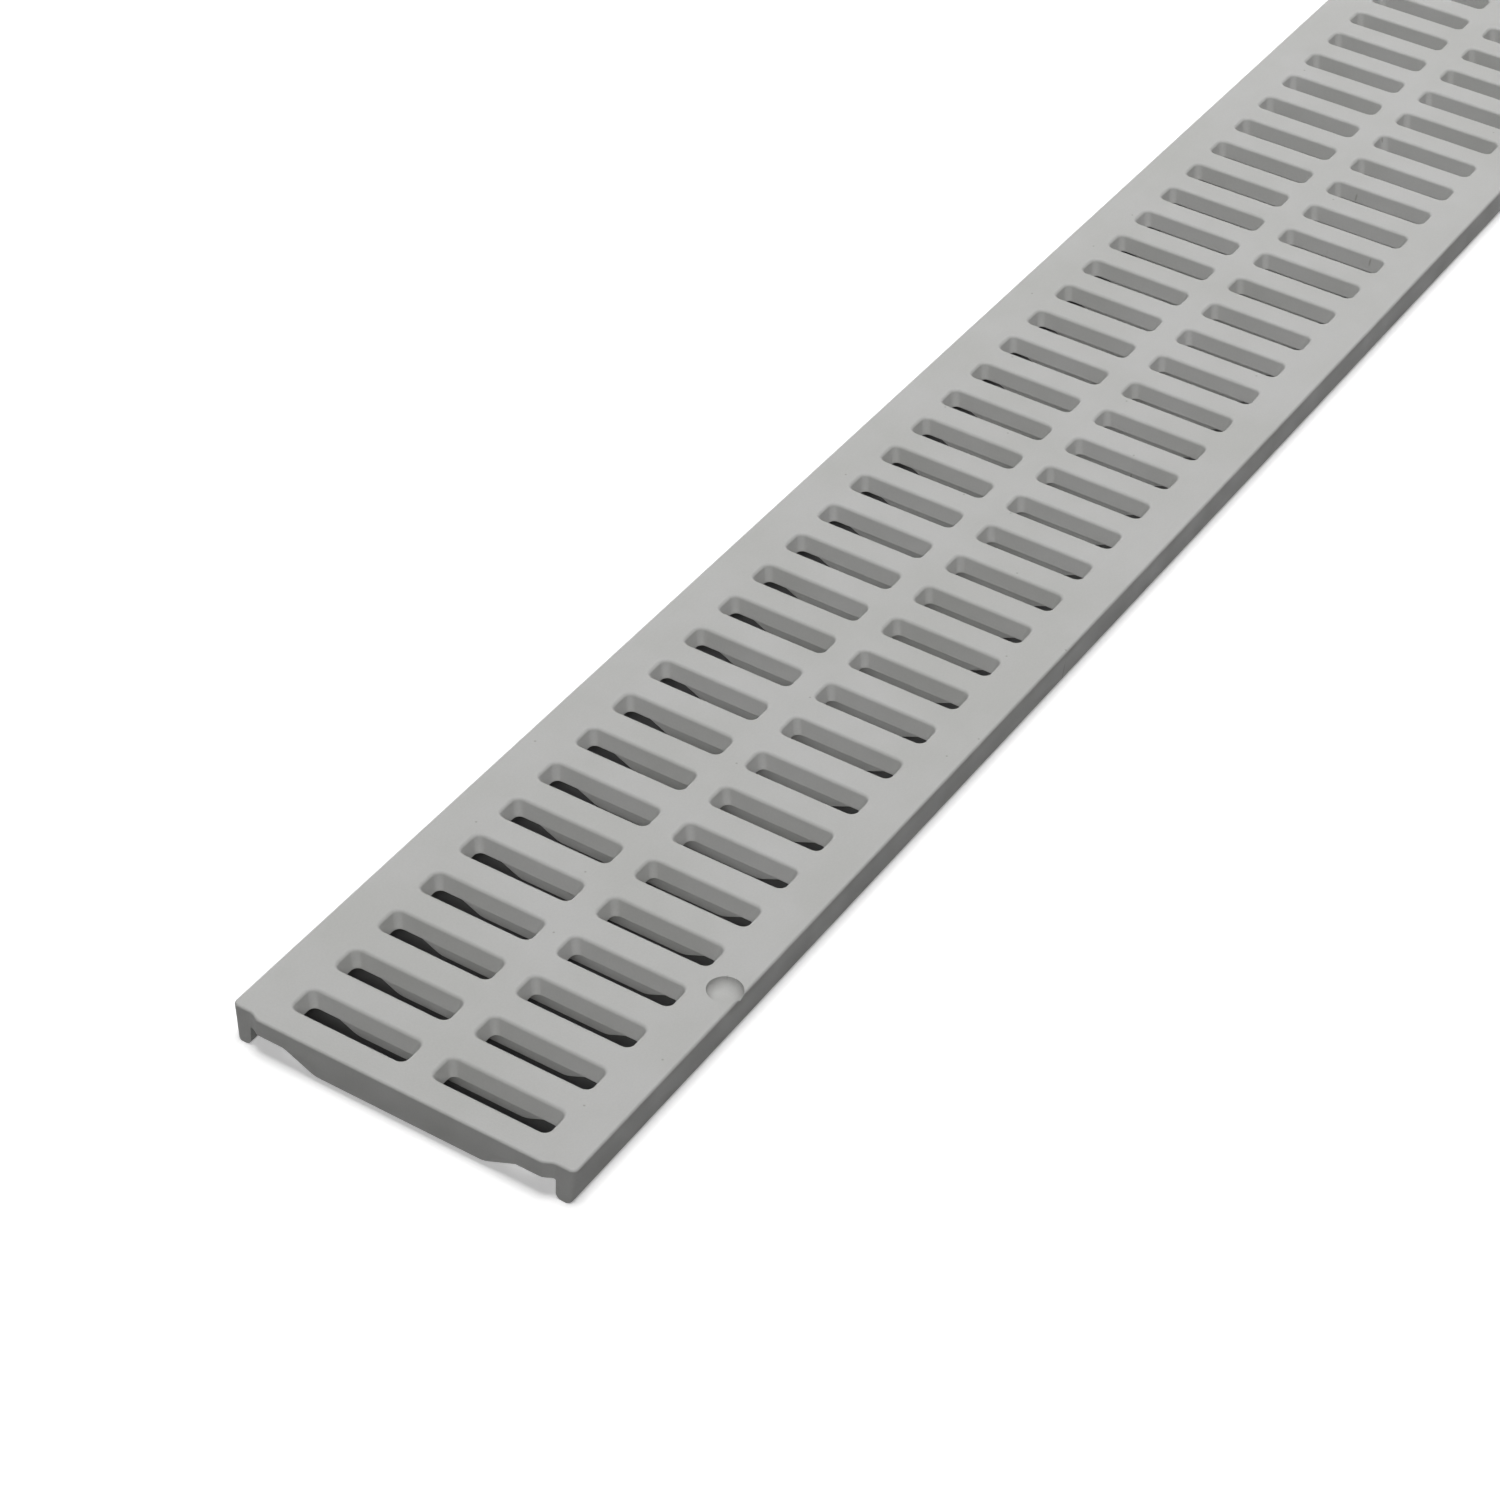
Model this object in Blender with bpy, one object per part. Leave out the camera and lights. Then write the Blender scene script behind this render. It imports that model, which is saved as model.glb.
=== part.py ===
"""Channel drain grate, moulded in one piece from light grey plastic.

A flat plate with two columns of crosswise slots and a skirt down each long side.
Under every bar between two rows of slots runs a narrower rib with a flat belly
and sloping ends. The grate stands on the rounded feet of its skirts.

Frame: X runs along the grate, Y across it, Z up. The origin is at the middle of
the grate, on the plane that the skirts stand on.
"""

import math

import bmesh
import bpy

MM = 0.001

# Overall size
LENGTH = 914.4 * MM
WIDTH = 73.0 * MM
HEIGHT = 8.4 * MM

# Plate and its edges
PLATE_THICKNESS = 3.8 * MM
TOP_EDGE_RADIUS = 0.5 * MM
CORNER_RADIUS = 1.2 * MM
CORNER_SETBACK = 1.0 * MM
CORNER_BLEND_RUN = 2.7 * MM

# Skirt down each long side, whose outer face leans in towards the foot
SKIRT_THICKNESS = 3.9 * MM
SIDE_DRAFT = 0.6 * MM
FOOT_RADIUS = 1.4 * MM
SKIRT_ROOT_RADIUS = 0.4 * MM

# Slots, in rows of two, that narrow downwards by the draft on every side
SLOT_PITCH = 12.625 * MM
SLOT_WIDTH = 6.0 * MM
SLOT_CORNER_RADIUS = 1.5 * MM
SLOT_EDGE_FLARE = 0.6 * MM
SLOT_DRAFT = 0.75 * MM
CENTRE_BAR = 5.9 * MM
SIDE_BORDER = 9.15 * MM
LEAST_END_BAR = 5.0 * MM

# Rib under each bar between two rows, and at both ends
RIB_THICKNESS = 5.3 * MM
RIB_CLEARANCE = 1.0 * MM
RIB_TO_SKIRT = 6.9 * MM
RIB_SLOPE_RUN = 7.6 * MM
END_RIB_STEP = 0.2 * MM

# Blind screw recess in the border, beside one of the bars
RECESS_BAR = 4
RECESS_FROM_SIDE = 3.35 * MM
RECESS_RADIUS = 3.45 * MM
RECESS_FLOOR_RADIUS = 1.4 * MM
RECESS_DEPTH = 2.4 * MM

# Fineness of the round stretches
EDGE_SEGMENTS = 2
CORNER_SEGMENTS = 4
BLEND_SEGMENTS = 4
FOOT_SEGMENTS = 3
SLOT_WALL_SEGMENTS = 1
SLOT_RIM_SEGMENTS = 2
RECESS_SIDES = 24
RECESS_RINGS = 4

# How far a cutter reaches past what it cuts, and the same where its walls cross at a slant
OVERCUT = 2.0 * MM
SLANT_OVERCUT = 0.3 * MM
FOOT_OVERLAP = 0.05 * MM

PLATE_UNDERSIDE = HEIGHT - PLATE_THICKNESS
SLOT_LENGTH = WIDTH / 2 - SIDE_BORDER - CENTRE_BAR / 2
COLUMN_CENTRE = (CENTRE_BAR + SLOT_LENGTH) / 2
ROW_COUNT = int((LENGTH - 2 * LEAST_END_BAR - SLOT_WIDTH) / SLOT_PITCH) + 1
FIRST_ROW = -(ROW_COUNT - 1) * SLOT_PITCH / 2
SKIRT_INNER = WIDTH / 2 - SKIRT_THICKNESS


def clear_scene():
    for item in list(bpy.data.objects):
        bpy.data.objects.remove(item, do_unlink=True)


def arc(centre, radius, start, end, segments):
    """Points on a circular arc, both ends included, with angles in degrees."""
    points = []
    for step in range(segments + 1):
        angle = math.radians(start + (end - start) * step / segments)
        points.append((centre[0] + radius * math.cos(angle), centre[1] + radius * math.sin(angle)))
    return points


def make_object(name, mesh_data):
    mesh = bpy.data.meshes.new(name)
    mesh_data.to_mesh(mesh)
    mesh_data.free()
    made = bpy.data.objects.new(name, mesh)
    bpy.context.scene.collection.objects.link(made)
    return made


def extrude_face(mesh_data, corners, direction):
    """A prism from one flat face, given by its corners in order."""
    face = mesh_data.faces.new([mesh_data.verts.new(corner) for corner in corners])
    pulled = bmesh.ops.extrude_face_region(mesh_data, geom=[face])
    moved = [item for item in pulled["geom"] if isinstance(item, bmesh.types.BMVert)]
    bmesh.ops.translate(mesh_data, verts=moved, vec=direction)


def face_outwards(mesh_data):
    bmesh.ops.recalc_face_normals(mesh_data, faces=mesh_data.faces)


def side_lean(level):
    """How far the outer face of a skirt lies inside the plate's edge at one height."""
    top = HEIGHT - TOP_EDGE_RADIUS
    return SIDE_DRAFT * (top - min(level, top)) / top


def end_outline(inset, lean):
    """One end seen from above, from its middle towards +Y and round the corner."""
    points = []
    for step in range(BLEND_SEGMENTS + 1):
        part = step / BLEND_SEGMENTS
        drop = CORNER_SETBACK * (1 - math.cos(math.pi * part)) / 2
        across = SKIRT_INNER - CORNER_BLEND_RUN * (1 - part)
        points.append((LENGTH / 2 - drop - inset, across))
    keep = max(CORNER_RADIUS, inset)
    centre = (LENGTH / 2 - CORNER_SETBACK - keep, WIDTH / 2 - keep - lean)
    return points + arc(centre, keep - inset, 0, 90, CORNER_SEGMENTS)


def plan_outline(inset, lean):
    """The whole grate seen from above, anticlockwise, smaller by inset on every side."""
    half = end_outline(inset, lean)
    end = [(x, -y) for x, y in reversed(half)] + half
    return end + [(-x, -y) for x, y in end]


def make_plan_block():
    """A block with the grate's plan, rounded top edge and leaning sides, overlong below."""
    levels = [(0.0, -OVERCUT)]
    rim_centre = (-TOP_EDGE_RADIUS, HEIGHT - TOP_EDGE_RADIUS)
    for inwards, level in arc(rim_centre, TOP_EDGE_RADIUS, 0, 90, EDGE_SEGMENTS):
        levels.append((-inwards, level))
    mesh_data = bmesh.new()
    rings = []
    for inset, level in levels:
        outline = plan_outline(inset, side_lean(level))
        rings.append([mesh_data.verts.new((x, y, level)) for x, y in outline])
    for lower, upper in zip(rings, rings[1:]):
        for index in range(len(lower)):
            after = (index + 1) % len(lower)
            mesh_data.faces.new([lower[index], lower[after], upper[after], upper[index]])
    mesh_data.faces.new(rings[0][::-1])
    mesh_data.faces.new(rings[-1])
    bmesh.ops.remove_doubles(mesh_data, verts=mesh_data.verts, dist=0.001 * MM)
    face_outwards(mesh_data)
    return make_object("grate", mesh_data)


def skirt_profile():
    """Half of the moulding's section in Y and Z: plate underside, skirt and foot."""
    root = (SKIRT_INNER - SKIRT_ROOT_RADIUS, PLATE_UNDERSIDE - SKIRT_ROOT_RADIUS)
    inner_foot = (SKIRT_INNER + FOOT_RADIUS, FOOT_RADIUS)
    outer_wall = WIDTH / 2 - side_lean(FOOT_RADIUS)
    outer_foot = (outer_wall - FOOT_RADIUS + FOOT_OVERLAP, FOOT_RADIUS)
    points = arc(root, SKIRT_ROOT_RADIUS, 90, 0, EDGE_SEGMENTS)
    points += arc(inner_foot, FOOT_RADIUS, 180, 270, FOOT_SEGMENTS)
    points += arc(outer_foot, FOOT_RADIUS, 270, 360, FOOT_SEGMENTS)
    points.append((WIDTH / 2 + OVERCUT, FOOT_RADIUS))
    points.append((WIDTH / 2 + OVERCUT, HEIGHT + OVERCUT))
    return points


def make_section():
    """The moulding's section run past both ends, overwide and overhigh above its feet."""
    half = skirt_profile()
    mesh_data = bmesh.new()
    start = -LENGTH / 2 - OVERCUT
    profile = half + [(-y, z) for y, z in reversed(half)]
    extrude_face(mesh_data, [(start, y, z) for y, z in profile], (LENGTH + 2 * OVERCUT, 0.0, 0.0))
    face_outwards(mesh_data)
    return make_object("section_guide", mesh_data)


def rib_profile():
    """One rib in Y and Z: flat belly, and slopes that run on up into the plate."""
    outer = SKIRT_INNER - RIB_TO_SKIRT
    belly = outer - RIB_SLOPE_RUN
    steepness = (PLATE_UNDERSIDE - RIB_CLEARANCE) / RIB_SLOPE_RUN
    sunk = PLATE_THICKNESS / 2
    right = [(belly, RIB_CLEARANCE), (outer + sunk / steepness, PLATE_UNDERSIDE + sunk)]
    return right + [(-y, z) for y, z in reversed(right)]


def rib_spans():
    """Start and end of each rib along X."""
    inset = (SLOT_PITCH - SLOT_WIDTH - RIB_THICKNESS) / 2
    end_face = LENGTH / 2 - END_RIB_STEP
    end_inner = -FIRST_ROW + SLOT_WIDTH / 2 + inset
    spans = [(-end_face, -end_inner), (end_inner, end_face)]
    for row in range(ROW_COUNT - 1):
        middle = FIRST_ROW + (row + 0.5) * SLOT_PITCH
        spans.append((middle - RIB_THICKNESS / 2, middle + RIB_THICKNESS / 2))
    return spans


def make_ribs():
    mesh_data = bmesh.new()
    profile = rib_profile()
    for start, end in rib_spans():
        extrude_face(mesh_data, [(start, y, z) for y, z in profile], (end - start, 0.0, 0.0))
    face_outwards(mesh_data)
    return make_object("ribs", mesh_data)


def slot_outline(grow, segments):
    """A slot seen from above round its own centre, larger by grow on every side."""
    half_x = SLOT_WIDTH / 2 + grow
    half_y = SLOT_LENGTH / 2 + grow
    radius = SLOT_CORNER_RADIUS + max(grow, 0.0)
    corners = []
    for side_x, side_y, start in ((1, 1, 0), (-1, 1, 90), (-1, -1, 180), (1, -1, 270)):
        centre = (side_x * (half_x - radius), side_y * (half_y - radius))
        corners.append(arc(centre, radius, start, start + 90, segments))
    return corners


def add_slot(mesh_data, centre_x, centre_y):
    """One slot cutter: walls that widen upwards, a flare up to the top face, then straight."""
    drafted = PLATE_THICKNESS - SLOT_EDGE_FLARE
    bottom = -SLOT_DRAFT * (drafted + SLANT_OVERCUT) / drafted
    levels = (
        (PLATE_UNDERSIDE - SLANT_OVERCUT, bottom, SLOT_WALL_SEGMENTS),
        (HEIGHT - SLOT_EDGE_FLARE, 0.0, SLOT_WALL_SEGMENTS),
        (HEIGHT, SLOT_EDGE_FLARE, SLOT_RIM_SEGMENTS),
        (HEIGHT + OVERCUT, SLOT_EDGE_FLARE, SLOT_RIM_SEGMENTS),
    )
    rings = []
    for level, grow, segments in levels:
        ring = []
        for corner in slot_outline(grow, segments):
            points = [(centre_x + x, centre_y + y, level) for x, y in corner]
            ring.append([mesh_data.verts.new(point) for point in points])
        rings.append(ring)
    for lower, upper in zip(rings, rings[1:]):
        join_rings(mesh_data, lower, upper)
    mesh_data.faces.new([vert for corner in rings[0] for vert in corner][::-1])
    mesh_data.faces.new([vert for corner in rings[-1] for vert in corner])


def join_rings(mesh_data, lower, upper):
    """Walls between two rings of corner arcs, which may differ in fineness."""
    for index, (low, high) in enumerate(zip(lower, upper)):
        next_low = lower[(index + 1) % len(lower)]
        next_high = upper[(index + 1) % len(upper)]
        mesh_data.faces.new([low[-1], next_low[0], next_high[0], high[-1]])
        if len(low) == len(high):
            for step in range(len(low) - 1):
                mesh_data.faces.new([low[step], low[step + 1], high[step + 1], high[step]])
            continue
        middle = len(high) // 2
        for step in range(middle):
            mesh_data.faces.new([low[0], high[step + 1], high[step]])
        mesh_data.faces.new([low[0], low[-1], high[middle]])
        for step in range(middle, len(high) - 1):
            mesh_data.faces.new([low[-1], high[step + 1], high[step]])


def make_slots():
    mesh_data = bmesh.new()
    for row in range(ROW_COUNT):
        for side in (1, -1):
            add_slot(mesh_data, FIRST_ROW + row * SLOT_PITCH, side * COLUMN_CENTRE)
    face_outwards(mesh_data)
    return make_object("slot_cutter", mesh_data)


def make_recess():
    """A turned bowl with a steep rim and a small flat floor, sunk from the top face."""
    centre_x = FIRST_ROW + (RECESS_BAR - 0.5) * SLOT_PITCH
    centre_y = -(WIDTH / 2 - RECESS_FROM_SIDE)
    bowl = RECESS_RADIUS - RECESS_FLOOR_RADIUS
    profile = [(RECESS_RADIUS, HEIGHT + OVERCUT)]
    for step in range(RECESS_RINGS + 1):
        angle = math.pi / 2 * step / RECESS_RINGS
        radius = RECESS_FLOOR_RADIUS + bowl * math.cos(angle)
        profile.append((radius, HEIGHT - RECESS_DEPTH * math.sin(angle)))
    mesh_data = bmesh.new()
    rings = []
    for radius, level in profile:
        ring = []
        for side in range(RECESS_SIDES):
            angle = 2 * math.pi * side / RECESS_SIDES
            x = centre_x + radius * math.cos(angle)
            y = centre_y + radius * math.sin(angle)
            ring.append(mesh_data.verts.new((x, y, level)))
        rings.append(ring)
    for upper, lower in zip(rings, rings[1:]):
        for side in range(RECESS_SIDES):
            after = (side + 1) % RECESS_SIDES
            mesh_data.faces.new([upper[side], upper[after], lower[after], lower[side]])
    mesh_data.faces.new(rings[0])
    mesh_data.faces.new(rings[-1])
    face_outwards(mesh_data)
    return make_object("recess_cutter", mesh_data)


def combine(target, tool, operation):
    """Boolean that stays on the target as a modifier, with its tool kept as a guide."""
    tool.hide_render = True
    tool.display_type = "WIRE"
    modifier = target.modifiers.new(tool.name, "BOOLEAN")
    modifier.operation = operation
    modifier.solver = "EXACT"
    modifier.object = tool


def plastic_material():
    material = bpy.data.materials.new("grey_plastic")
    material.use_nodes = True
    shader = material.node_tree.nodes["Principled BSDF"]
    shader.inputs["Base Color"].default_value = (0.46, 0.46, 0.45, 1.0)
    shader.inputs["Roughness"].default_value = 0.55
    shader.inputs["Metallic"].default_value = 0.0
    return material


def build_grate():
    grate = make_plan_block()
    grate.data.materials.append(plastic_material())
    combine(grate, make_section(), "INTERSECT")
    combine(grate, make_ribs(), "UNION")
    combine(grate, make_slots(), "DIFFERENCE")
    combine(grate, make_recess(), "DIFFERENCE")
    return grate


clear_scene()
build_grate()
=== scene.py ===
"""Channel drain grate: a finely moulded mesh with its plastic, soft light, floor and camera."""

import math

import bmesh
import bpy
from mathutils import Euler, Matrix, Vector
from mathutils.geometry import tessellate_polygon


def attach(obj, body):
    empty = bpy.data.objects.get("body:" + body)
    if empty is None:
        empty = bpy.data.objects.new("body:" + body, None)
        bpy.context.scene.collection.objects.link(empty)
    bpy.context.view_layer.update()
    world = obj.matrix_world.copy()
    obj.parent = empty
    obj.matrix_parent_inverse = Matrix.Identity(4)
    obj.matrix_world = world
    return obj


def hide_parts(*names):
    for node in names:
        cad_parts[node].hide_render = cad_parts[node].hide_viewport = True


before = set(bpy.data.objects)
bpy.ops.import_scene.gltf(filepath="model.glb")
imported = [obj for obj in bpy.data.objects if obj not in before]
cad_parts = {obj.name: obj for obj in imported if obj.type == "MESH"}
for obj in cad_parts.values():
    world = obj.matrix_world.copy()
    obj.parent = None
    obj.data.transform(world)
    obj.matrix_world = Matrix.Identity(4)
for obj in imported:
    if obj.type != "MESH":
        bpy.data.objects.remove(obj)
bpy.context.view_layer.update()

MM = 0.001

# Sizes in millimetres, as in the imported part
LENGTH = 914.4
WIDTH = 73.0
HEIGHT = 8.4
UNDERSIDE = 4.6
TOP_ROUND = 0.5
CORNER_ROUND = 1.2
SETBACK = 1.0
BLEND_RUN = 2.7
SKIRT = 3.9
SIDE_DRAFT = 0.6
FOOT_ROUND = 1.4
ROOT_ROUND = 0.4
PITCH = 12.625
ROWS = 72
SLOT_WIDTH = 6.0
SLOT_LENGTH = 24.4
SLOT_CORNER = 1.5
SLOT_ROUND = 0.8
SLOT_DRAFT = 0.75
SLOT_FOOT_ROUND = 0.3
COLUMN = 15.15
RIB = 5.3
RIB_BELLY = 18.1
RIB_END = 25.7
RIB_BOTTOM = 1.0
RIB_ROUND = 0.35
RIB_BEND = 1.0
END_RIB_STEP = 0.2
RECESS_BAR = 4
RECESS_FROM_SIDE = 3.35
RECESS_RADIUS = 3.45
RECESS_FLOOR = 1.4
RECESS_DEPTH = 2.4

HALF = WIDTH / 2
END = LENGTH / 2
INNER = HALF - SKIRT
EDGE_LINE = HALF - TOP_ROUND
ROOT_LINE = INNER - ROOT_ROUND
CORNER_X = END - SETBACK - CORNER_ROUND
CORNER_Y = HALF - CORNER_ROUND
FIRST_ROW = -(ROWS - 1) * PITCH / 2
EDGE_FOOT = HEIGHT - 1.3    # lowest line of the strip that the recess breaks

# Segments of each rounding
EDGE_STEPS = 5
SLOT_CORNER_STEPS = 6
MOUTH_STEPS = 5
MOUTH_TURN = 15.5           # degrees a step, which ends on the slope of the drafted wall
SLOT_FOOT_STEPS = 3
RIM_STEPS = 30
BOWL_STEPS = 8
ROOT_STEPS = 5
FOOT_STEPS = 7
BLEND_STEPS = 5
RIB_STEPS = 3

RIB_SLOPE_PARTS = (0.35, 0.6, 0.8, 0.93, 1.0)   # closer together towards a rib's tip
BEND_PER_DEPTH = 0.45       # most rounding that a shallow end of a rib takes
HALVINGS = 40               # of the search for the recess's lowest point at the edge
SHARP_ANGLE = 35            # degrees between faces from which an edge stays sharp
TINY = 1e-6

# Corners closer than a cell of this grid weld, and the offset keeps round sizes off its lines
CELLS_PER_MM = 5000
CELL_OFFSET = 0.2171828


def arc(centre, radius, start, end, segments):
    """Points on an arc between two angles in degrees."""
    turns = [math.radians(start + (end - start) * step / segments) for step in range(segments + 1)]
    return [(centre[0] + radius * math.cos(t), centre[1] + radius * math.sin(t)) for t in turns]


def bar_x(bar):
    """Middle of the bar before row number bar, with rows counted from 0."""
    return FIRST_ROW + (bar - 0.5) * PITCH


def lean(level):
    """How far the outer face of a skirt lies inside the plate's edge at one height."""
    top = HEIGHT - TOP_ROUND
    return SIDE_DRAFT * (top - min(level, top)) / top


class Skin:
    """A mesh in the making, in millimetres, whose corners weld where they meet."""

    def __init__(self):
        self.lookup = {}
        self.points = []
        self.faces = []

    def corner(self, point):
        key = tuple(round(value * CELLS_PER_MM + CELL_OFFSET) for value in point)
        if key not in self.lookup:
            self.lookup[key] = len(self.points)
            self.points.append(tuple(value * MM for value in point))
        return self.lookup[key]

    def face(self, corners):
        ring = []
        for point in corners:
            number = self.corner(point)
            if number not in ring:
                ring.append(number)
        if len(ring) > 2:
            self.faces.append(ring)

    def sheet(self, rows, closed=False):
        """Quads between rows of points that have the same count."""
        for first, second in zip(rows, rows[1:]):
            count = len(first)
            for index in range(count if closed else count - 1):
                after = (index + 1) % count
                self.face((first[index], first[after], second[after], second[index]))

    def flat(self, level, outline, holes=()):
        """A level face with holes in it."""
        loops = [[(x, y, level) for x, y in loop] for loop in (outline, *holes)]
        points = [point for loop in loops for point in loop]
        for corners in tessellate_polygon([[Vector(point) for point in loop] for loop in loops]):
            self.face([points[number] for number in corners])


# Slots

def slot_ring(row, side, grow):
    """Outline of one slot, grown by grow, seen from above."""
    half_x = SLOT_WIDTH / 2 + grow
    half_y = SLOT_LENGTH / 2 + grow
    radius = SLOT_CORNER + max(grow, 0.0)
    ring = []
    for sx, sy, start in ((1, 1, 0), (-1, 1, 90), (-1, -1, 180), (1, -1, 270)):
        x = FIRST_ROW + row * PITCH + sx * (half_x - radius)
        y = side * COLUMN + sy * (half_y - radius)
        ring += arc((x, y), radius, start, start + 90, SLOT_CORNER_STEPS)
    return ring


def slot_levels():
    """How much a slot has grown at each height, from its rounded mouth down to its foot."""
    levels = []
    for step in range(MOUTH_STEPS + 1):
        turn = math.radians(MOUTH_TURN * step)
        level = HEIGHT - SLOT_ROUND * (1 - math.cos(turn))
        levels.append((SLOT_ROUND * (1 - math.sin(turn)), level))
    for step in range(SLOT_FOOT_STEPS + 1):
        turn = math.radians(90 / SLOT_FOOT_STEPS * step)
        level = UNDERSIDE + SLOT_FOOT_ROUND * (1 - math.sin(turn))
        levels.append((SLOT_FOOT_ROUND * (1 - math.cos(turn)) - SLOT_DRAFT, level))
    return levels


def add_slot_walls(skin, row, side):
    rings = []
    for grow, level in slot_levels():
        rings.append([(x, y, level) for x, y in slot_ring(row, side, grow)])
    skin.sheet(rings, closed=True)


# Long edge and the recess: a bowl that breaks out through the edge at -Y

RECESS_X = bar_x(RECESS_BAR)
RECESS_Y = -(HALF - RECESS_FROM_SIDE)


def edge_levels():
    """Points down the long edge and a bit of its wall: distance from the middle, and height."""
    edge = arc((EDGE_LINE, HEIGHT - TOP_ROUND), TOP_ROUND, 90, 0, EDGE_STEPS)
    return edge + [(HALF - lean(EDGE_FOOT), EDGE_FOOT)]


def bowl_reach(level):
    """Radius of the recess at one height."""
    depth = (HEIGHT - level) / RECESS_DEPTH
    return RECESS_FLOOR + (RECESS_RADIUS - RECESS_FLOOR) * math.sqrt(max(1 - depth * depth, 0.0))


def notch():
    """Where the bowl crosses the lines of the rounded edge, and its lowest point there."""
    crossings = []
    edge = edge_levels()
    for across, level in edge:
        gap = across + RECESS_Y
        if bowl_reach(level) <= gap:
            break
        crossings.append((math.sqrt(bowl_reach(level) ** 2 - gap ** 2), across, level))
    (y0, z0), (y1, z1) = edge[len(crossings) - 1], edge[len(crossings)]
    low, high = 0.0, 1.0
    for _ in range(HALVINGS):
        part = (low + high) / 2
        across = y0 + (y1 - y0) * part
        level = z0 + (z1 - z0) * part
        if bowl_reach(level) > across + RECESS_Y:
            low = part
        else:
            high = part
    return crossings, (RECESS_X, -across, level)


CROSSINGS, NOTCH_BOTTOM = notch()


def rim_arc():
    """The recess's rim on the flat top, from +X round to -X."""
    start = math.asin((RECESS_Y + EDGE_LINE) / -RECESS_RADIUS)
    sweep = math.pi - 2 * start
    rim = []
    for step in range(RIM_STEPS + 1):
        turn = start + sweep * step / RIM_STEPS
        x = RECESS_X + RECESS_RADIUS * math.cos(turn)
        rim.append((x, RECESS_Y + RECESS_RADIUS * math.sin(turn)))
    return rim


def add_recess(skin):
    """The bowl's wall and floor, from a rim that dips through the long edge."""
    right = [(RECESS_X + w, -y, z) for w, y, z in CROSSINGS]
    left = [(RECESS_X - w, -y, z) for w, y, z in CROSSINGS]
    rim = [(x, y, HEIGHT) for x, y in rim_arc()[1:-1]] + left + [NOTCH_BOTTOM] + right[::-1]
    rows = []
    for step in range(BOWL_STEPS + 1):
        row = []
        for x, y, z in rim:
            turn = math.atan2(y - RECESS_Y, x - RECESS_X)
            begin = math.asin((HEIGHT - z) / RECESS_DEPTH)
            fall = begin + (math.pi / 2 - begin) * step / BOWL_STEPS
            reach = RECESS_FLOOR + (RECESS_RADIUS - RECESS_FLOOR) * math.cos(fall)
            x = RECESS_X + reach * math.cos(turn)
            y = RECESS_Y + reach * math.sin(turn)
            row.append((x, y, HEIGHT - RECESS_DEPTH * math.sin(fall)))
        rows.append(row)
    rows[0] = rim
    skin.sheet(rows, closed=True)
    skin.face(rows[-1])


def add_long_edge(skin, side):
    """Rounded top edge and the strip below it, bar by bar, broken by the recess at -Y."""
    lines = edge_levels()
    stations = [-CORNER_X] + [bar_x(bar) for bar in range(ROWS + 1)] + [CORNER_X]
    broken = (RECESS_BAR, RECESS_BAR + 1) if side < 0 else ()
    for index, (x0, x1) in enumerate(zip(stations, stations[1:])):
        if index in broken:
            continue
        skin.sheet([[(x0, side * y, z), (x1, side * y, z)] for y, z in lines])
    if not broken:
        return
    for outer, sign in ((bar_x(RECESS_BAR - 1), -1), (bar_x(RECESS_BAR + 1), 1)):
        rows = [[(outer, -y, z), (RECESS_X + sign * w, -y, z)] for w, y, z in CROSSINGS]
        skin.sheet(rows)
        after = lines[len(CROSSINGS):]
        low = [(outer, -after[0][0], after[0][1]), (RECESS_X, -after[0][0], after[0][1])]
        skin.face([rows[-1][0], rows[-1][1], NOTCH_BOTTOM, low[1], low[0]])
        skin.sheet([[(outer, -y, z), (RECESS_X, -y, z)] for y, z in after])


# Plan of the ends

def end_x(across):
    """How far out the end's wall reaches at a distance from the middle."""
    if across > CORNER_Y:
        out = min(across - CORNER_Y, CORNER_ROUND)
        return CORNER_X + math.sqrt(CORNER_ROUND ** 2 - out ** 2)
    part = min(max((across - INNER + BLEND_RUN) / BLEND_RUN, 0.0), 1.0)
    return END - SETBACK * (1 - math.cos(math.pi * part)) / 2


def root_points():
    """Fillet between the plate's underside and the skirt, outwards and down."""
    return arc((ROOT_LINE, UNDERSIDE - ROOT_ROUND), ROOT_ROUND, 90, 0, ROOT_STEPS)


def foot_points():
    """Round the foot from its inner wall to its outer wall."""
    inner = (INNER + FOOT_ROUND, FOOT_ROUND)
    outer = (HALF - lean(FOOT_ROUND) - FOOT_ROUND, FOOT_ROUND)
    points = arc(inner, FOOT_ROUND, 180, 270, FOOT_STEPS)
    return points + arc(outer, FOOT_ROUND, 270, 360, FOOT_STEPS)


def upright(across, level):
    """Where the plate's edge line has the point that leans in to this place on a skirt."""
    return across + lean(level) if across >= INNER else across


def blend_points():
    """Distances from the middle along the set-back's blend, up to the skirt's fillet."""
    start = INNER - BLEND_RUN
    return [start + (ROOT_LINE - start) * step / BLEND_STEPS for step in range(BLEND_STEPS)]


def plan_line():
    """Distances from the middle at which the end's plan has a corner."""
    line = [RIB_END] + blend_points() + [across for across, level in root_points()]
    return line + [upright(across, level) for across, level in foot_points()]


def top_line(drop):
    """Half of the near end's plan, at an angle down its rounded top edge."""
    inset = TOP_ROUND * (1 - math.sin(drop))
    line = []
    for across in plan_line():
        if across > CORNER_Y + TINY:
            turn = math.asin(min((across - CORNER_Y) / CORNER_ROUND, 1.0))
            radius = CORNER_ROUND - inset
            line.append((CORNER_X + radius * math.cos(turn), CORNER_Y + radius * math.sin(turn)))
        else:
            line.append((end_x(across) - inset, across))
    return line


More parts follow.
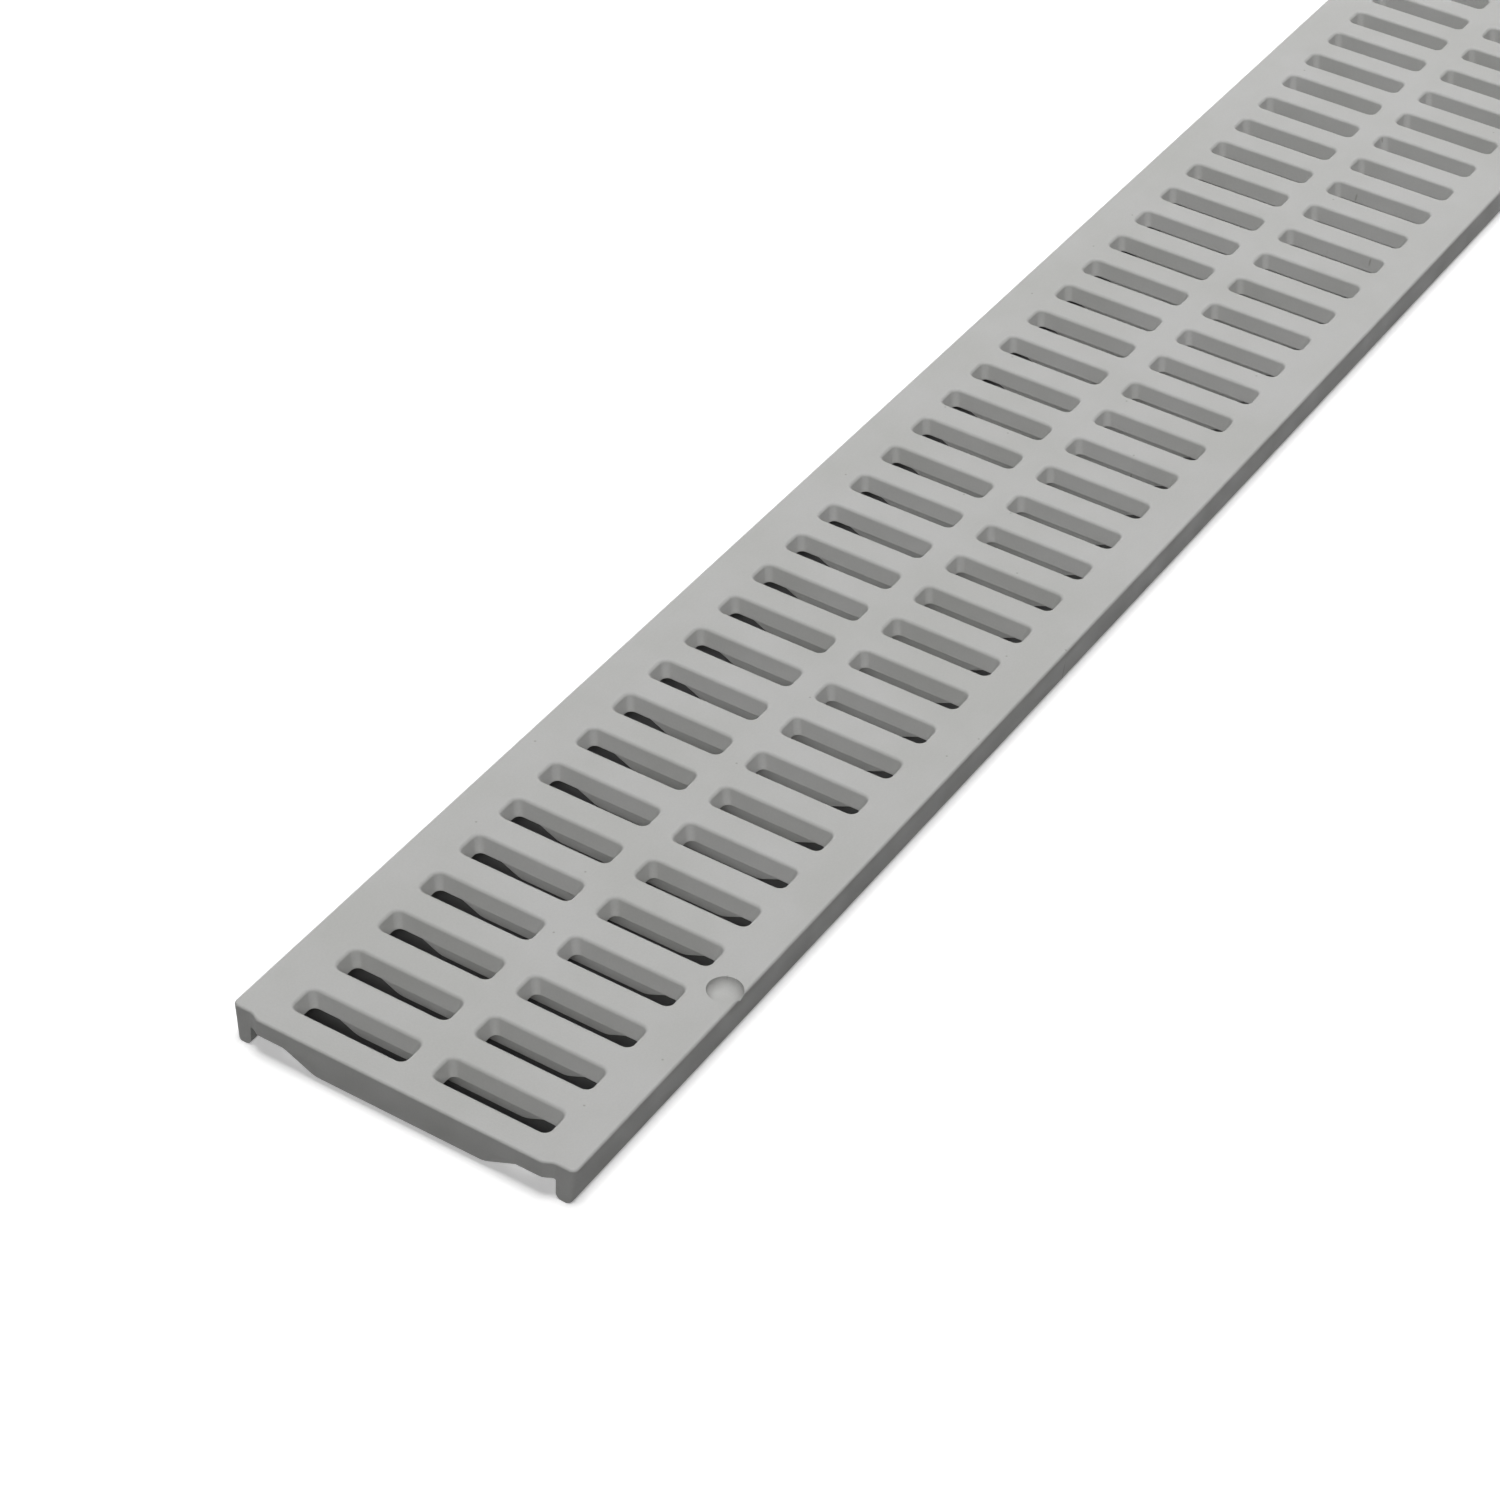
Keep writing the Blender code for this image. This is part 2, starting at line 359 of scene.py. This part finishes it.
def add_end(skin, sign):
    """Rounded edge, top strip and wall of one end."""
    rows = []
    for step in range(EDGE_STEPS + 1):
        drop = math.radians(90 * step / EDGE_STEPS)
        half = top_line(drop)
        level = HEIGHT - TOP_ROUND * (1 - math.cos(drop))
        row = [(sign * x, y, level) for x, y in reversed(half)]
        rows.append(row + [(sign * x, -y, level) for x, y in half])
    skin.sheet(rows)
    bar = sign * bar_x(ROWS)
    rim = [(x, y) for x, y, z in rows[0]]
    skin.flat(HEIGHT, rim + [(bar, -EDGE_LINE), (bar, 0.0), (bar, EDGE_LINE)])

    top = HEIGHT - TOP_ROUND
    skin.face([(sign * END, y, z) for y, z in (
        (RIB_END, top), (RIB_END, UNDERSIDE), (-RIB_END, UNDERSIDE), (-RIB_END, top))])
    inside = [(across, UNDERSIDE) for across in [RIB_END] + blend_points()]
    low = inside + root_points() + foot_points()
    for side in (1, -1):
        for (y0, z0), (y1, z1) in zip(low, low[1:]):
            u0 = upright(y0, z0) if z0 < UNDERSIDE - ROOT_ROUND else y0
            u1 = upright(y1, z1) if z1 < UNDERSIDE - ROOT_ROUND else y1
            corners = [(u0, u0, top), (u1, u1, top), (u1, y1, z1), (u0, y0, z0)]
            if (y1, z1) == low[-1]:
                corners.insert(2, (u1, HALF - lean(EDGE_FOOT), EDGE_FOOT))
            skin.face([(sign * end_x(u), side * y, z) for u, y, z in corners])


def add_skirt(skin, side):
    """Along one long side, from the rounded top edge round the foot to the plate."""
    stations = [bar_x(bar) for bar in range(ROWS + 1)]
    rows = []
    for across, level in edge_levels()[-1:] + foot_points()[::-1] + root_points()[::-1]:
        ends = end_x(upright(across, level))
        rows.append([(x, side * across, level) for x in [-ends] + stations + [ends]])
    skin.sheet(rows)


# Ribs

def rib_sides(bar):
    """Both faces of a rib, and the fillets at their roots."""
    if 0 < bar < ROWS:
        return bar_x(bar) - RIB / 2, bar_x(bar) + RIB / 2, RIB_ROUND, RIB_ROUND
    inner = bar_x(ROWS) - RIB / 2
    if bar == 0:
        return -(END - END_RIB_STEP), -inner, 0.0, RIB_ROUND
    return inner, END - END_RIB_STEP, RIB_ROUND, 0.0


def rib_stations():
    """Distance from the middle and depth of a rib, from the middle out to its tip."""
    full = UNDERSIDE - RIB_BOTTOM
    rate = full / (RIB_END - RIB_BELLY)
    stations = [(0.0, full)]
    for step in range(RIB_STEPS + 1):
        run = 2 * RIB_BEND * step / RIB_STEPS
        stations.append((RIB_BELLY - RIB_BEND + run, full - rate * run * run / (4 * RIB_BEND)))
    for part in RIB_SLOPE_PARTS:
        across = RIB_BELLY + RIB_BEND + (RIB_END - RIB_BELLY - RIB_BEND) * part
        stations.append((across, rate * (RIB_END - across)))
    return stations


def rib_bend(depth):
    """Rounding of a rib's edges and roots, which fades out with its depth."""
    return min(RIB_ROUND, BEND_PER_DEPTH * depth)


def rib_section(bar, depth):
    """A rib cut along X at one place: X and Z from the left root to the right root."""
    left, right, left_fillet, right_fillet = rib_sides(bar)
    bend = rib_bend(depth)
    low = UNDERSIDE - depth
    fillet = min(left_fillet, bend)
    points = arc((left - fillet, UNDERSIDE - fillet), fillet, 90, 0, RIB_STEPS)
    points += arc((left + bend, low + bend), bend, 180, 270, RIB_STEPS)
    points.append(((left + right) / 2, low))
    points += arc((right - bend, low + bend), bend, 270, 360, RIB_STEPS)
    fillet = min(right_fillet, bend)
    return points + arc((right + fillet, UNDERSIDE - fillet), fillet, 180, 90, RIB_STEPS)


def add_ribs(skin):
    for bar in range(ROWS + 1):
        for side in (1, -1):
            rows = []
            for across, depth in rib_stations():
                rows.append([(x, side * across, z) for x, z in rib_section(bar, depth)])
            skin.sheet(rows)


# Level faces of the plate

def top_outline(row, side):
    """Walking face round one slot, from the middle out to the edge or the recess's rim."""
    left, right = bar_x(row), bar_x(row + 1)
    edge = side * EDGE_LINE
    outline = [(left, 0.0), (left, edge), (right, edge), (right, 0.0)]
    if side > 0 or row not in (RECESS_BAR - 1, RECESS_BAR):
        return outline
    rim = rim_arc()
    if row == RECESS_BAR:
        return rim[RIM_STEPS // 2::-1] + [(right, edge), (right, 0.0), (left, 0.0)]
    return rim[RIM_STEPS // 2:] + [(left, edge), (left, 0.0), (right, 0.0)]


def under_outline(row, side):
    """Underside of the plate round one slot, between two ribs and out to the skirt."""
    outline = []
    for bar, which in ((row, 1), (row + 1, 0)):
        sides = rib_sides(bar)
        line = []
        for across, depth in rib_stations():
            fillet = min(sides[2 + which], rib_bend(depth))
            line.append((sides[which] + (2 * which - 1) * fillet, side * across))
        line.append(((sides[0] + sides[1]) / 2, side * RIB_END))
        if 0 < bar < ROWS:
            line.append((bar_x(bar), side * ROOT_LINE))
        else:
            sign = 1 if bar else -1
            line.append((sides[1 - which], side * RIB_END))
            for across in [RIB_END] + blend_points() + [ROOT_LINE]:
                line.append((sign * end_x(across), side * across))
            line.append((bar_x(bar), side * ROOT_LINE))
        outline += line if which else line[::-1]
    return outline


def add_plate(skin):
    """Both level faces with the slots between them, and the narrow ledge at each end rib."""
    for row in range(ROWS):
        for side in (1, -1):
            add_slot_walls(skin, row, side)
            mouth = slot_ring(row, side, SLOT_ROUND)
            foot = slot_ring(row, side, SLOT_FOOT_ROUND - SLOT_DRAFT)
            skin.flat(HEIGHT, top_outline(row, side), [mouth])
            skin.flat(UNDERSIDE, under_outline(row, side), [foot])
    for sign in (1, -1):
        line = [y for y, depth in rib_stations()]
        line = [-y for y in reversed(line)] + line[1:]
        inner = [(sign * (END - END_RIB_STEP), y) for y in line]
        skin.flat(UNDERSIDE, inner + [(sign * END, RIB_END), (sign * END, -RIB_END)])


def build_grate():
    skin = Skin()
    add_plate(skin)
    add_ribs(skin)
    add_recess(skin)
    for side in (1, -1):
        add_long_edge(skin, side)
        add_skirt(skin, side)
        add_end(skin, side)
    mesh = bpy.data.meshes.new("moulded_grate")
    mesh.from_pydata(skin.points, [], skin.faces)
    tidy = bmesh.new()
    tidy.from_mesh(mesh)
    bmesh.ops.recalc_face_normals(tidy, faces=tidy.faces)
    tidy.to_mesh(mesh)
    tidy.free()
    for polygon in mesh.polygons:
        polygon.use_smooth = True
    mesh.set_sharp_from_angle(angle=math.radians(SHARP_ANGLE))
    made = bpy.data.objects.new("moulded_grate", mesh)
    bpy.context.scene.collection.objects.link(made)
    weigh = made.modifiers.new("weigh", "WEIGHTED_NORMAL")
    weigh.keep_sharp = True
    weigh.weight = 80
    return made


# Materials

# Floor under the grate: painted shade, how dark it looks; painted bounce, how much light it sends
# up to the ribs
PAINTED_SHADE_SHOWN = 0.17
PAINTED_BOUNCE_SENT_BACK = 0.80
FLOOR_SENT_BACK = 0.05

# Where that painted shade fades out, in millimetres in from the ends and from the skirts
SHADE_FADE_AT_END = (9.0, 5.0)
SHADE_FADE_AT_SKIRT = (3.0, 0.0)


def nodes_of(name):
    material = bpy.data.materials.new(name)
    material.use_nodes = True
    tree = material.node_tree
    return material, tree, tree.nodes["Principled BSDF"]


def noise(tree, coords, scale, detail):
    node = tree.nodes.new("ShaderNodeTexNoise")
    node.inputs["Scale"].default_value = scale
    node.inputs["Detail"].default_value = detail
    tree.links.new(coords, node.inputs["Vector"])
    return node.outputs["Fac"]


def span(tree, value, low, high, start=0.35, end=0.65):
    """Runs from low to high while the value runs from start to end."""
    node = tree.nodes.new("ShaderNodeMapRange")
    node.inputs["From Min"].default_value = start
    node.inputs["From Max"].default_value = end
    node.inputs["To Min"].default_value = low
    node.inputs["To Max"].default_value = high
    tree.links.new(value, node.inputs["Value"])
    return node.outputs["Result"]


def maths(tree, operation, first, second):
    node = tree.nodes.new("ShaderNodeMath")
    node.operation = operation
    tree.links.new(first, node.inputs[0])
    tree.links.new(second, node.inputs[1])
    return node.outputs["Value"]


def mix(tree, share, first, second, blend="MIX"):
    """Mixes two colours, each one a plain colour or the output of a node."""
    node = tree.nodes.new("ShaderNodeMixRGB")
    node.blend_type = blend
    tree.links.new(share, node.inputs["Fac"])
    for name, colour in (("Color1", first), ("Color2", second)):
        if isinstance(colour, tuple):
            node.inputs[name].default_value = (*colour, 1.0)
        else:
            tree.links.new(colour, node.inputs[name])
    return node.outputs["Color"]


def grey(value):
    return (value, value, value)


def specks(tree, coords):
    """One in a small spot at about every tenth point of a loose grid, nought elsewhere."""
    spots = tree.nodes.new("ShaderNodeTexVoronoi")
    spots.voronoi_dimensions = "2D"
    spots.inputs["Scale"].default_value = 120.0
    tree.links.new(coords, spots.inputs["Vector"])
    tone = tree.nodes.new("ShaderNodeSeparateColor")
    tree.links.new(spots.outputs["Color"], tone.inputs["Color"])
    chosen = span(tree, tone.outputs["Red"], 0.0, 1.0, 0.90, 0.91)
    spot = span(tree, spots.outputs["Distance"], 1.0, 0.0, 0.018, 0.034)
    return maths(tree, "MULTIPLY", chosen, spot)


def plastic():
    """Light grey moulded plastic: faint cloudiness, fine grain, and a few darker specks."""
    material, tree, shader = nodes_of("grey_plastic_skin")
    coords = tree.nodes.new("ShaderNodeTexCoord").outputs["Object"]
    cloud = span(tree, noise(tree, coords, 55.0, 3.0), 0.0, 1.0)
    grain = noise(tree, coords, 2600.0, 2.0)
    colour = mix(tree, cloud, (0.452, 0.453, 0.440), (0.478, 0.478, 0.470))
    colour = mix(tree, span(tree, grain, 0.0, 1.0), colour, grey(0.965), "MULTIPLY")
    colour = mix(tree, specks(tree, coords), colour, (0.70, 0.69, 0.67), "MULTIPLY")
    tree.links.new(colour, shader.inputs["Base Color"])
    sheen = span(tree, noise(tree, coords, 160.0, 4.0), 0.50, 0.62)
    tree.links.new(sheen, shader.inputs["Roughness"])
    shader.inputs["Specular IOR Level"].default_value = 0.4
    bump = tree.nodes.new("ShaderNodeBump")
    bump.inputs["Strength"].default_value = 0.25
    bump.inputs["Distance"].default_value = 0.06 * MM
    tree.links.new(grain, bump.inputs["Height"])
    tree.links.new(bump.outputs["Normal"], shader.inputs["Normal"])
    return material


def seen_directly(tree):
    """One for rays from the camera, from reflections and through glass, nought for the rest."""
    path = tree.nodes.new("ShaderNodeLightPath")
    seen = path.outputs["Is Camera Ray"]
    for name in ("Is Glossy Ray", "Is Transmission Ray"):
        seen = maths(tree, "MAXIMUM", seen, path.outputs[name])
    return seen


def clear_of_grate(tree, position):
    """Nought on the floor between the skirts and the end ribs, where shade and bounce light are
    painted, one outside them.
    """
    mirrored = tree.nodes.new("ShaderNodeVectorMath")
    mirrored.operation = "ABSOLUTE"
    tree.links.new(position, mirrored.inputs[0])
    part = tree.nodes.new("ShaderNodeSeparateXYZ")
    tree.links.new(mirrored.outputs["Vector"], part.inputs["Vector"])
    from_end, to_end = [(END - inset) * MM for inset in SHADE_FADE_AT_END]
    from_side, to_side = [(INNER - inset) * MM for inset in SHADE_FADE_AT_SKIRT]
    past_end = span(tree, part.outputs["X"], 0.0, 1.0, from_end, to_end)
    past_side = span(tree, part.outputs["Y"], 0.0, 1.0, from_side, to_side)
    return maths(tree, "MAXIMUM", past_end, past_side)


def floor_glow(tree, position):
    """Keeps the floor white where the lamps fall off, and weak where the shadow lies."""
    away = tree.nodes.new("ShaderNodeVectorMath")
    away.operation = "LENGTH"
    tree.links.new(position, away.inputs[0])
    return span(tree, away.outputs["Value"], 0.25, 1.0, 0.6, 2.0)


def floor_material():
    """White to the camera and in reflections, with painted shade: dark in a fixed patch under the
    grate.

    It sends little light back, but under the grate a painted bounce light, enough to light the
    ribs.
    """
    material, tree, shader = nodes_of("studio_floor")
    shader.inputs["Roughness"].default_value = 0.9
    shader.inputs["Specular IOR Level"].default_value = 0.0
    seen = seen_directly(tree)
    position = tree.nodes.new("ShaderNodeNewGeometry").outputs["Position"]
    clear = clear_of_grate(tree, position)
    # painted shade: under the grate the floor's own colour is drawn dark, standing in for the
    # shade there
    shown = mix(tree, clear, grey(PAINTED_SHADE_SHOWN), grey(1.0))
    # painted bounce light: under the grate the floor sends bright light back to the ribs though it
    # looks dark
    sent_back = mix(tree, clear, grey(PAINTED_BOUNCE_SENT_BACK), grey(FLOOR_SENT_BACK))
    tree.links.new(mix(tree, seen, sent_back, shown), shader.inputs["Base Color"])
    glow = maths(tree, "MULTIPLY", clear, floor_glow(tree, position))
    shader.inputs["Emission Color"].default_value = (*grey(1.0), 1.0)
    tree.links.new(maths(tree, "MULTIPLY", seen, glow), shader.inputs["Emission Strength"])
    return material


# Stage

def make_floor():
    bpy.ops.mesh.primitive_plane_add(size=40.0, location=(0.0, 0.0, 0.0))
    floor = bpy.context.object
    floor.name = "floor"
    floor.data.materials.append(floor_material())


def make_world():
    """A white background that adds only a little light."""
    world = bpy.data.worlds.new("studio")
    bpy.context.scene.world = world
    world.use_nodes = True
    tree = world.node_tree
    background = tree.nodes["Background"]
    strength = tree.nodes.new("ShaderNodeMix")
    strength.inputs["A"].default_value = 0.02
    strength.inputs["B"].default_value = 1.0
    tree.links.new(seen_directly(tree), strength.inputs["Factor"])
    tree.links.new(strength.outputs["Result"], background.inputs["Strength"])
    background.inputs["Color"].default_value = (*grey(1.0), 1.0)


def area_light(name, location, target, size, power):
    """A soft lamp that points at its target, in metres and watts."""
    lamp = bpy.data.lights.new(name, "AREA")
    lamp.shape = "RECTANGLE"
    lamp.size, lamp.size_y = size
    lamp.energy = power
    made = bpy.data.objects.new(name, lamp)
    bpy.context.scene.collection.objects.link(made)
    made.location = location
    made.rotation_euler = (Vector(target) - Vector(location)).to_track_quat("-Z", "Y").to_euler()


def make_camera():
    lens = bpy.data.cameras.new("camera")
    lens.sensor_fit = "HORIZONTAL"
    lens.sensor_width = 36.0
    lens.lens = 93.951
    lens.clip_start = 0.01
    camera = bpy.data.objects.new("camera", lens)
    bpy.context.scene.collection.objects.link(camera)
    camera.location = (-0.839008, -0.291673, 0.488084)
    camera.rotation_euler = Euler([math.radians(a) for a in (50.01045, -2.24251, -57.652)])
    bpy.context.scene.camera = camera


grate = build_grate()
grate.data.materials.append(plastic())
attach(grate, "root")
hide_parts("grate")

make_floor()
make_world()
area_light("overhead", (-0.45, 0.0, 6.0), (-0.45, 0.0, 0.0), (2.2, 2.2), 200.0)
area_light("far_overhead", (0.35, 0.0, 0.9), (0.35, 0.0, 0.0), (0.5, 0.5), 2.8)
area_light("front", (-5.95, -2.65, 5.1), (-0.45, 0.0, 0.0), (2.4, 2.4), 188.0)
area_light("back_fill", (3.4, 5.9, 1.8), (0.0, 0.0, 0.0), (2.4, 2.4), 89.0)
make_camera()
bpy.context.scene.view_settings.view_transform = "Standard"
